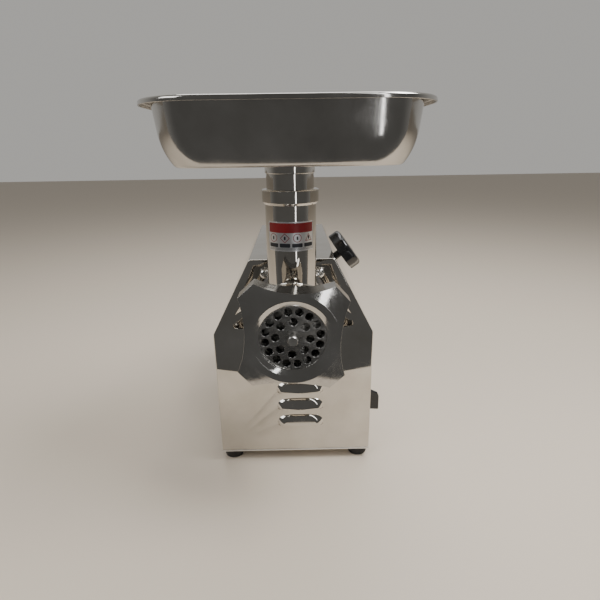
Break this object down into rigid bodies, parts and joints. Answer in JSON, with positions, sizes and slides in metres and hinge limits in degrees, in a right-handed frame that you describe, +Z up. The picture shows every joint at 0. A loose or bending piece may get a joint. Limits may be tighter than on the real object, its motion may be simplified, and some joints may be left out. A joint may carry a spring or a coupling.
{
  "type": "electric meat grinder",
  "caption": "Table-top electric meat grinder: polished sheet housing, geared motor, pull-out screw head with feed tube, lift-off tray, hole plate and lobed ring nut.",
  "frame": {"origin": "on the table surface, under the middle of the whole machine", "axes": "+Z up, the front with the ring nut faces -Y, +X to the right seen from the front"},
  "size_m": [0.253, 0.395, 0.4347],
  "materials": {
    "mirror_steel": "mirror-polished stainless sheet",
    "tray_steel": "polished stainless sheet with fine vertical brush lines",
    "head_steel": "polished stainless",
    "ring_steel": "polished lobes, satin front face",
    "plate_steel": "ground steel",
    "auger_steel": "cast stainless",
    "plain_steel": "satin sheet steel",
    "bolt_steel": "bright steel",
    "black_oxide": "black-oxide steel",
    "zinc_steel": "zinc plated",
    "cast_alloy": "sand-cast",
    "bearing_steel": "ground bearing steel",
    "laminations": "stacked laminations",
    "copper": "enamelled copper wire",
    "bronze": "sintered bronze",
    "shaft_steel": "turned steel",
    "gear_steel": "cut steel",
    "capacitor_can": "drawn can",
    "label_foil": "printed foil",
    "rubber": "matt black",
    "black_plastic": "moulded black",
    "knob_plastic": "glossy black",
    "fan_plastic": "moulded black",
    "white_plastic": "natural acetal"
  },
  "bodies": {
    "housing": {"base_plate": "plain_steel", "wrap_shell": "mirror_steel", "front_panel": "mirror_steel", "rear_panel": "mirror_steel", "rubber_feet": "rubber", "foot_screws": "zinc_steel", "rear_screws": "zinc_steel", "gear_case": "cast_alloy", "gear_cover": "cast_alloy", "cover_bolts": "zinc_steel", "head_socket": "cast_alloy", "socket_bolts": "bolt_steel", "case_screws": "zinc_steel", "output_bearings": "bearing_steel", "oil_seal": "rubber", "layshaft_bearings": "bearing_steel", "motor_stator": "laminations", "stator_winding": "copper", "motor_front_bell": "cast_alloy", "motor_rear_bell": "cast_alloy", "motor_bearings": "bearing_steel", "motor_bolts": "zinc_steel", "support_bracket": "plain_steel", "bracket_screws": "zinc_steel", "run_capacitor": "capacitor_can", "capacitor_clip": "zinc_steel", "switch_body": "black_plastic", "cord_gland": "black_plastic"},
    "head": {"head_barrel": "head_steel", "feed_tube": "head_steel", "tube_collar": "head_steel", "neck_bushing": "bronze", "plate_key_pin": "bolt_steel", "tube_label": "label_foil"},
    "tray": {"tray_pan": "tray_steel", "tray_spigot": "tray_steel"},
    "plate": {"cutting_plate": "plate_steel"},
    "ring": {"ring_nut": "ring_steel"},
    "worm": {"auger": "auger_steel", "knife": "plate_steel", "thrust_washer": "white_plastic"},
    "output": {"output_shaft": "shaft_steel", "output_gear": "gear_steel", "gear_key": "shaft_steel"},
    "idler": {"layshaft": "shaft_steel", "layshaft_gear": "gear_steel"},
    "rotor": {"rotor_core": "laminations", "motor_shaft": "shaft_steel", "cooling_fan": "fan_plastic"},
    "pad": {"clamp_pad": "bronze"},
    "knob": {"clamp_stud": "black_oxide", "clamp_knob": "knob_plastic"},
    "switch": {"switch_knob": "knob_plastic"}
  },
  "joints": [
    {"name": "drive_spin", "type": "hinge", "parent": "housing", "child": "output", "pos_m": [0, 0.03, 0.2267], "axis": [0, 1, 0], "continuous": true},
    {"name": "idler_spin", "type": "hinge", "parent": "housing", "child": "idler", "pos_m": [0, 0.05, 0.17945], "axis": [0, 1, 0], "continuous": true},
    {"name": "rotor_spin", "type": "hinge", "parent": "housing", "child": "rotor", "pos_m": [0, 0.12, 0.13595], "axis": [0, 1, 0], "continuous": true},
    {"name": "head_pull", "type": "slide", "parent": "housing", "child": "head", "axis": [0, -1, 0], "range_m": [0, 0.09]},
    {"name": "worm_spin", "type": "hinge", "parent": "head", "child": "worm", "pos_m": [0, -0.1, 0.2267], "axis": [0, 1, 0], "continuous": true},
    {"name": "tray_lift", "type": "slide", "parent": "head", "child": "tray", "axis": [0, 0, 1], "range_m": [0, 0.045]},
    {"name": "plate_out", "type": "slide", "parent": "head", "child": "plate", "axis": [0, -1, 0], "range_m": [0, 0.012]},
    {"name": "ring_turn", "type": "hinge", "parent": "plate", "child": "ring", "pos_m": [0, -0.17, 0.2267], "axis": [0, -1, 0], "range_deg": [0, 1080]},
    {"name": "clamp_travel", "type": "slide", "parent": "housing", "child": "pad", "axis": [0.809, 0, 0.5878], "range_m": [0, 0.006]},
    {"name": "knob_turn", "type": "hinge", "parent": "pad", "child": "knob", "pos_m": [0.02427, -0.0105, 0.24433], "axis": [0.809, 0, 0.5878], "range_deg": [0, 1440]},
    {"name": "switch_turn", "type": "hinge", "parent": "housing", "child": "switch", "pos_m": [0.09, -0.013, 0.062], "axis": [1, 0, 0], "range_deg": [-45, 45]}
  ],
  "couplings": [
    {"joint": "idler_spin", "follows": "drive_spin", "ratio": -2.8571},
    {"joint": "rotor_spin", "follows": "drive_spin", "ratio": 8.9796},
    {"joint": "worm_spin", "follows": "drive_spin", "ratio": 1},
    {"joint": "ring_turn", "follows": "plate_out", "rad_per_m": 1570.8},
    {"joint": "knob_turn", "follows": "clamp_travel", "rad_per_m": 4188.8}
  ]
}
